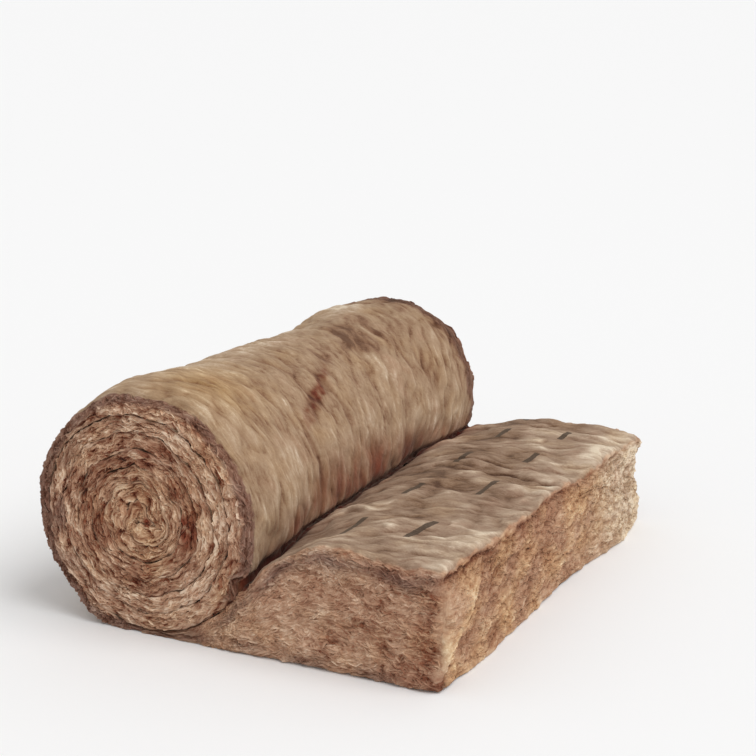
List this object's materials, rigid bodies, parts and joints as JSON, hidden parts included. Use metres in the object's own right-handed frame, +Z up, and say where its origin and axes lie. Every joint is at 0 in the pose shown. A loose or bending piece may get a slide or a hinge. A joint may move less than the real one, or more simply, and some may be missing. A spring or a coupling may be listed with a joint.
{
  "type": "insulation roll",
  "caption": "Brown glass mineral wool insulation quilt, coiled on its side with its free end opened flat; laid in lofts and between rafters.",
  "frame": {"origin": "middle of the underside of the whole roll, on the floor it lies on", "axes": "+Y along the coil's axis and the quilt's width, +X towards the opened cut end, +Z up"},
  "size_m": [0.99, 1.2, 0.5319],
  "materials": {
    "mineral_wool": "matt, fibrous"
  },
  "bodies": {
    "root": {"wool_quilt": "mineral_wool"}
  },
  "joints": []
}
